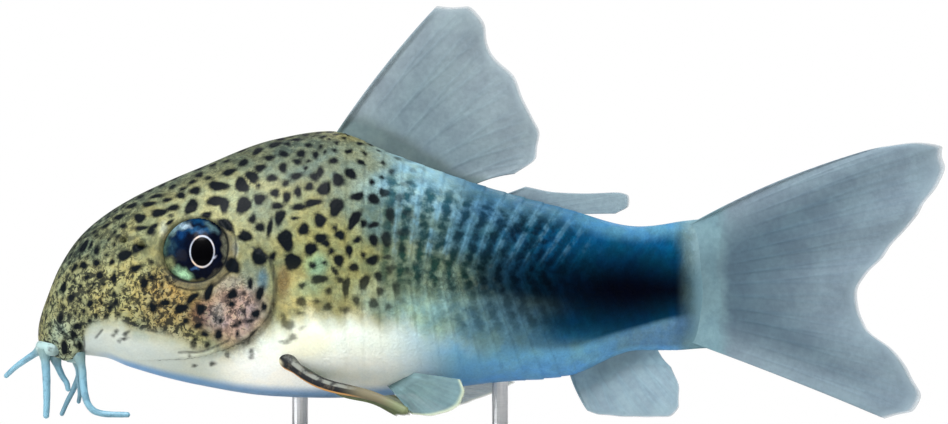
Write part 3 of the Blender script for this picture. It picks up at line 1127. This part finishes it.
def fanRays(side, first, last, tips, bow, swing=0.0):
    rays = []
    for index, (place, out, height) in enumerate(tips):
        share = index / (len(tips) - 1)
        at = first[0] + (last[0] - first[0]) * share
        level = first[1] + (last[1] - first[1]) * share
        root = flankPoint(at, level, side, -fins["sink"])
        tip = np.array((body["snoutX"] + place, side * out, height))
        rays.append((root, tip, np.array((0, side * bow[0], bow[1])), np.array((-0.15, 0, -1)) * swing))
    return rays


def tailRays():
    # forked fan of fourteen rays. The top and bottom ones bend
    tips = (
        (53.2, 20.6), (55.3, 20.9), (56.9, 20.55), (57.05, 19.4), (56.5, 17.9), (55.6, 16.5), (54.5, 15.2),
        (53.2, 13.7), (52.1, 12.5), (51.65, 11.0), (52.2, 9.3), (53.7, 7.9), (54.8, 6.5), (55.6, 5.0),
        (55.2, 3.9), (53.3, 3.5),
    )
    rays = []
    for index, ((place, height), rootHeight) in enumerate(zip(tips, np.linspace(15.6, 8.4, len(tips)))):
        share = index / (len(tips) - 1)
        arch = 0.5 * max(0, 1 - 2 * share) ** 2 + 0.1 * max(0, 2 * share - 1) ** 2
        root = np.array((body["snoutX"] + body["length"] - 1.2, 0, rootHeight))
        rays.append((root, np.array((body["snoutX"] + place, 0, height)), np.array((0, 0, arch)), np.zeros(3)))
    return rays


finTones = {  # at the root, in the middle, far out, at the margin, and how opaque the membrane is
    "dorsal": (paint(92, 110, 112), paint(104, 124, 133), paint(126, 142, 150), paint(142, 158, 166), 0.84),
    "tail": (paint(106, 136, 146), paint(63, 87, 102), paint(115, 134, 146), paint(132, 151, 162), 0.86),
    "anal": (paint(122, 150, 165), paint(133, 160, 175), paint(142, 167, 180), paint(150, 174, 187), 0.8),
    "adipose": (paint(92, 118, 128), paint(117, 138, 149), paint(122, 142, 152), paint(134, 154, 164), 0.84),
    "pelvicleft": (paint(110, 138, 142), paint(96, 122, 124), paint(102, 132, 138), paint(206, 216, 184), 0.74),
    "pelvicright": (paint(140, 166, 174), paint(146, 172, 182), paint(150, 178, 190), paint(206, 216, 194), 0.52),
    "pectoral": (paint(92, 104, 88), paint(92, 104, 84), paint(110, 122, 86), paint(124, 136, 100), 0.9),
}


def tube(line, sizeAt, sides, rings):
    # a closed tube along a line. sizeAt gives its radius from the distance along it and the whole length
    run = np.concatenate(([0], np.cumsum(np.linalg.norm(np.diff(line, axis=0), axis=1))))

    def lineAt(at):
        at = np.clip(at, 0, run[-1])
        return np.stack([np.interp(at, run, line[:, axis]) for axis in range(3)], -1)

    def place(ring, column):
        at = np.clip(ring / (rings - 1), 0, 1) * run[-1]
        forward = unit(lineAt(at + 0.05) - lineAt(at - 0.05))
        side = unit(np.cross(forward, (0.3, 1, 0.2)))
        other = np.cross(forward, side)
        size = sizeAt(at, run[-1]) * np.sqrt(np.clip((run[-1] - at) / 0.12, 0.0, 1.0))
        size = np.where((ring < 0) | (ring >= rings), 0, size)
        turn = column / sides * 2 * math.pi
        return lineAt(at) + (np.cos(turn)[:, None] * side + np.sin(turn)[:, None] * other) * size[:, None]

    mesh, ring, column = drawnOut(sides, rings, place)
    at = np.clip(ring / (rings - 1), 0, 1) * run[-1]
    centre = lineAt(at)
    return mesh, at / run[-1], (placeOf(mesh) / mm - centre)


def makeSpineMaterial():
    # near-black bone with worn grey and brown patches and an orange lower edge
    material, tree, shader = newMaterial("spineBone", Roughness=0.5, Coat_Weight=0.04, Coat_Roughness=0.3, Specular_IOR_Level=0.2)
    where = inMillimetres(tree)
    out, under = readValue(tree, "out"), readValue(tree, "under")
    worn = fade(tree, cloud(tree, where, 1.4, 4, 0.6), 0.5, 0.62, 0.0, 0.6)
    colour = tint(tree, worn, rgba(paint(12, 16, 22)), rgba(paint(84, 76, 64)))
    upper = calc(tree, "MULTIPLY", fade(tree, under, -0.2, -0.4), fade(tree, under, -0.92, -0.75))
    upper = calc(tree, "MULTIPLY", upper, fade(tree, cloud(tree, where, 1.5, 4), 0.4, 0.6, 0.1, 0.75))
    colour = tint(tree, calc(tree, "MULTIPLY", upper, fade(tree, out, 0.02, 0.12)), colour, rgba(paint(138, 142, 134)))
    lower = calc(tree, "MULTIPLY", fade(tree, under, 0.5, 0.66), fade(tree, under, 0.95, 0.84))
    colour = tint(tree, calc(tree, "MULTIPLY", lower, fade(tree, out, 0.0, 0.06)), colour, rgba(paint(206, 152, 88)))
    cap = calc(tree, "MULTIPLY", fade(tree, out, 0.1, 0.04), fade(tree, under, -0.1, 0.3))
    colour = tint(tree, cap, colour, rgba(paint(214, 206, 176)))
    colour = tint(tree, fade(tree, out, 0.5, 0.72), colour, rgba(paint(110, 104, 82)))
    colour = tint(tree, fade(tree, out, 0.78, 0.95), colour, rgba(paint(112, 122, 90)))
    tree.links.new(colour, shader.inputs["Base Color"])
    bumpFrom(tree, shader, cloud(tree, where, 5, 3, 0.6), 0.04, 0.6)
    return material


def makeFinSpine(name, rays, material, replaced):
    # the stout first ray of a pectoral fin, knobbed at its root
    share = np.linspace(0, 1, 80)
    line = finShape(rays, np.zeros(80), share, 0)

    def sizeAt(at, length):
        knob = 0.15 * hump(0.75, 0.9, at)
        return 0.37 - 0.12 * ease(0.45, 1.0, at / length) + knob

    mesh, out, away = tube(line, sizeAt, 24, 110)
    piece = finishPiece(name, mesh, material, replaced)
    giveValue(piece, "out", out)
    giveValue(piece, "under", -away[:, 2] / np.maximum(np.linalg.norm(away, axis=1), 0.01))


def makeFins():
    tints = {name: makeFinMaterial(name + "Fin", *tones) for name, tones in finTones.items()}
    spineBone = makeSpineMaterial()
    dorsal = middleRays(18.9, 28.0, (
        (25.1, 29.45), (27.1, 29.55), (28.1, 28.3), (28.5, 26.6), (30.0, 24.9), (31.0, 22.9), (31.6, 21.4),
        (31.4, 20.0), (30.0, 18.9),
    ), 0.25)
    makeFin("dorsalFin", dorsal, tints["dorsal"], ("dorsal_fin",), 0.75, 0.8, 0.006, 0.12, 70, 0.7)
    adipose = middleRays(
        29.6, 34.4, ((30.7, 18.1), (32.6, 17.75), (34.6, 17.68), (36.5, 17.75), (37.15, 17.55), (37.2, 16.9), (36.4, 16.4))
    )
    makeFin("adiposeFin", adipose, tints["adipose"], ("adipose_fin",), 0.4, 0.7, 0.0, 0.0, 30, 0.2, (0.6, 1.4))
    anal = middleRays(33.6, 39.2, (
        (34.6, 4.0), (35.4, 3.7), (36.8, 3.6), (38.4, 3.55), (39.7, 3.65), (40.4, 4.3), (40.4, 5.4), (39.9, 6.7),
    ), -0.15, True)
    makeFin("analFin", anal, tints["anal"], ("anal_fin",), 0.5, 0.7, 0.006, 0.08, 40)
    makeFin("tailFin", tailRays(), tints["tail"], ("tail_fin",), 0.5, 0.5, 0.004, 0.16, 90, 0.6, (1.5, 3.5))
    tips = []
    for share in np.linspace(0, 1, 7):
        tips.append((23.3 - 0.7 * share + 0.7 * math.sin(math.pi * share), 9.4 - 4.0 * share, 4.1 - 0.35 * share))
    left = ((23.6, 5.6, 3.85), (24.7, 6.3, 3.8), (25.8, 6.3, 4.0), (26.6, 5.9, 4.5), (26.9, 5.2, 5.2), (26.6, 4.5, 6.0))
    right = ((26.0, 5.0, 4.1), (27.0, 5.0, 4.4), (28.0, 4.7, 4.75), (28.9, 4.2, 5.1), (29.6, 3.6, 5.45), (30.0, 3.0, 5.75))
    for side, word, fan, rear in ((-1, "left", left, (22.9, 6.1)), (1, "right", right, (23.9, 5.5))):
        rays = fanRays(side, (15.35, 7.35), (17.2, 6.4), tips, (0.4, -0.4), 0.3)
        makeFin("pectoralFin_" + word, rays, tints["pectoral"], ("pectoral_fin_" + word,), 0.3, 0.7, 0.012, 0.0, 60)
        makeFinSpine("pectoralSpine_" + word, rays, spineBone, ("pectoral_fin_" + word,))
        rays = fanRays(side, (21.9, 5.3), rear, fan, (0.3, 0))
        makeFin("pelvicFin_" + word, rays, tints["pelvic" + word], ("pelvic_fin_" + word,), 0.4, 0.6, 0.005, 0.05, 50)


makeFins()


# Barbels and lips

barbels = {
    "sides": 20,
    "rings": 90,
    "tip": 0.19,  # share of the radius left at the tip is set by this radius
    "upper_left": (0.3, ((0.45, -1.3, 7.9), (0.52, -1.3, 7.0), (0.58, -1.3, 6.0), (0.6, -1.35, 4.7), (0.55, -1.4, 3.5))),
    "upper_right": (0.24, ((0.3, 0.7, 8.0), (-0.2, 0.95, 7.6), (-0.8, 1.25, 7.2), (-1.5, 1.65, 6.7), (-2.2, 2.0, 6.05))),
    "lower_left": (
        0.27,
        ((2.6, -1.8, 7.6), (2.85, -2.0, 6.6), (2.95, -2.2, 5.5), (3.2, -2.4, 4.5), (3.75, -2.5, 3.95), (4.6, -2.6, 3.8),
         (5.9, -2.8, 3.78)),
    ),
    "lower_right": (0.22, ((2.5, 1.8, 7.4), (2.55, 1.9, 6.5), (2.2, 2.1, 5.4), (1.75, 2.25, 4.5), (1.35, 2.4, 3.6))),
    "chin_left": (0.25, ((1.1, -1.0, 7.5), (1.25, -0.95, 6.9), (1.55, -0.9, 6.2), (1.85, -0.9, 5.7), (1.95, -0.9, 5.2))),
    "chin_right": (0.2, ((2.4, 0.65, 7.3), (2.5, 0.7, 6.6), (2.55, 0.8, 5.8), (2.6, 0.85, 5.1), (2.5, 0.9, 4.4))),
}

lips = {
    "upper": (0.44, ((1.5, 2.0, 7.75), (0.85, 1.55, 7.9), (0.4, 0.85, 8.0), (0.28, 0.0, 8.02))),  # radius, half the line
    "lower": (0.32, ((1.6, 1.7, 7.5), (2.1, 1.2, 7.35), (2.45, 0.6, 7.3), (2.5, 0.0, 7.3))),
}


def softLine(knots, smoothing=60):
    knots = [(body["snoutX"] + place, y, z) for place, y, z in knots]
    fine = np.linspace(0, len(knots) - 1, 400)
    line = np.stack([curveThrough([(i, knot[axis]) for i, knot in enumerate(knots)], fine) for axis in range(3)], -1)
    for _ in range(smoothing):
        line[1:-1] = (line[:-2] + line[1:-1] * 2 + line[2:]) / 4
    return line


def makeFleshMaterial(name, root, tip, blotch, amount):
    material, tree, shader = newMaterial(name, Roughness=0.45, Coat_Weight=0.05, Coat_Roughness=0.3)
    where = inMillimetres(tree)
    colour = tint(tree, fade(tree, readValue(tree, "out"), 0.0, 0.35), rgba(root), rgba(tip))
    blotches = fade(tree, cloud(tree, where, 1.8, 3, 0.6), 0.5, 0.68)
    colour = tint(tree, calc(tree, "MULTIPLY", blotches, amount), colour, rgba(blotch))
    tree.links.new(colour, shader.inputs["Base Color"])
    bumpFrom(tree, shader, cloud(tree, where, 6, 3, 0.6), 0.03, 0.6)
    return material


def makeBarbels():
    material = makeFleshMaterial("barbelSkin", paint(112, 140, 140), paint(112, 158, 178), paint(62, 100, 120), 0.5)
    for name, row in barbels.items():
        if not isinstance(row, tuple):
            continue
        radius, knots = row

        def sizeAt(at, length):
            size = radius + (barbels["tip"] * radius / 0.3 - radius) * at / length
            return size * (1 + 0.015 * np.sin(at * 7)) + 0.16 * ease(0.9, 0.0, at)

        mesh, out, away = tube(softLine(knots), sizeAt, barbels["sides"], barbels["rings"])
        piece = finishPiece("barbel_" + name + "_skin", mesh, material, ("barbel_" + name,))
        giveValue(piece, "out", out)
    print("barbels: 6")


def makeLips():
    material = makeFleshMaterial("lipSkin", paint(96, 116, 112), paint(156, 184, 184), paint(36, 50, 58), 0.7)
    for name, (radius, knots) in lips.items():
        mirrored = [(place, -y, z) for place, y, z in knots]
        line = softLine(mirrored + [(place, y, z) for place, y, z in knots[-2::-1]], 30)

        def sizeAt(at, length):
            return radius * (1 - 0.35 * ease(0.35, 0.5, np.abs(at / length - 0.5))) * np.sqrt(np.clip(at / 0.3, 0, 1))

        mesh, out, away = tube(line, sizeAt, 28, 90)
        piece = finishPiece(name + "Lip", mesh, material, ("head",))
        giveValue(piece, "out", 1 - 2 * np.abs(out - 0.5))
    print("lips: 2")


makeBarbels()
makeLips()


# Stand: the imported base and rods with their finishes


def makeStand():
    material, tree, shader = newMaterial("satinWhite", Roughness=0.5)
    where = inMillimetres(tree)
    speck = fade(tree, cloud(tree, where, 2.5, 5, 0.7), 0.35, 0.7)
    tree.links.new(tint(tree, speck, (0.55, 0.54, 0.51, 1), (0.63, 0.62, 0.59, 1)), shader.inputs["Base Color"])
    bumpFrom(tree, shader, cloud(tree, where, 4, 3, 0.6), 0.02, 0.4)
    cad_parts["stand_base"].data.materials[0] = material
    steel, tree, shader = newMaterial("brushedSteel", Roughness=0.32, Metallic=1.0)
    where = addNode(tree, "Mapping", {"Vector": inMillimetres(tree), "Scale": (1, 1, 12)}).outputs[0]
    brush = cloud(tree, where, 1.5, 4, 0.6)
    tree.links.new(tint(tree, brush, (0.5, 0.51, 0.53, 1), (0.72, 0.73, 0.75, 1)), shader.inputs["Base Color"])
    bumpFrom(tree, shader, brush, 0.01, 0.4)
    for word in ("front", "rear"):
        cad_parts["stand_rod_" + word].data.materials[0] = steel
    print("stand finished")


makeStand()


# Floor and light

studio = {
    "floorSize": 8.0,
    "plainFrom": 0.07,  # the floor fades to the white of the room beyond this, in metres
    "plainTo": 0.09,
    "sideLight": 0.2,  # strength of the room around and overhead
    "topLight": 0.7,
    "key": ((-0.12, -0.3, 0.5), 0.26, 4.2),  # place, size, watts
    "fill": ((-0.5, -0.35, 0.1), 0.3, 1.2),
    "rim": ((0.1, 0.4, 0.4), 0.3, 1.0),
}


def makeFloor():
    mesh = bmesh.new()
    bmesh.ops.create_grid(mesh, x_segments=1, y_segments=1, size=studio["floorSize"] / 2)
    data = bpy.data.meshes.new("floor")
    mesh.to_mesh(data)
    mesh.free()
    floor = bpy.data.objects.new("floor", data)
    bpy.context.scene.collection.objects.link(floor)
    material, tree, shader = newMaterial("paleFloor", Roughness=0.8)
    shader.inputs["Base Color"].default_value = (0.82, 0.82, 0.81, 1)
    where = addNode(tree, "TexCoord").outputs["Object"]
    distance = addNode(tree, "VectorMath", {0: where}, operation="LENGTH").outputs["Value"]
    white = addNode(tree, "Emission", {"Color": (1, 1, 1, 1), "Strength": 1.0}).outputs[0]
    output = tree.nodes["Material Output"]
    far = fade(tree, distance, studio["plainFrom"], studio["plainTo"])
    mixed = addNode(tree, "MixShader", {0: far, 1: shader.outputs[0], 2: white}).outputs[0]
    tree.links.new(mixed, output.inputs["Surface"])
    data.materials.append(material)


def makeLights():
    for name in ("key", "fill", "rim"):
        place, size, watts = studio[name]
        data = bpy.data.lights.new(name, "AREA")
        data.shape = "DISK"
        data.size = size
        data.energy = watts
        light = bpy.data.objects.new(name, data)
        light.location = place
        aim = Vector((0, 0, 0.012)) - Vector(place)
        light.rotation_euler = aim.to_track_quat("-Z", "Y").to_euler()
        bpy.context.scene.collection.objects.link(light)
    world = bpy.data.worlds.new("room")
    bpy.context.scene.world = world
    world.use_nodes = True
    tree = world.node_tree
    background = tree.nodes["Background"]
    background.inputs["Color"].default_value = (1, 1, 1, 1)
    seen = addNode(tree, "LightPath").outputs["Is Camera Ray"]
    direction = addNode(tree, "TexCoord").outputs["Generated"]
    upward = addNode(tree, "SeparateXYZ", {0: direction}).outputs["Z"]
    light = fade(tree, upward, 0.0, 1.0, studio["sideLight"], studio["topLight"])
    tree.links.new(calc(tree, "MAXIMUM", seen, light), background.inputs["Strength"])
    bpy.context.scene.view_settings.view_transform = "Standard"
    print("floor and lights ready")


makeFloor()
makeLights()
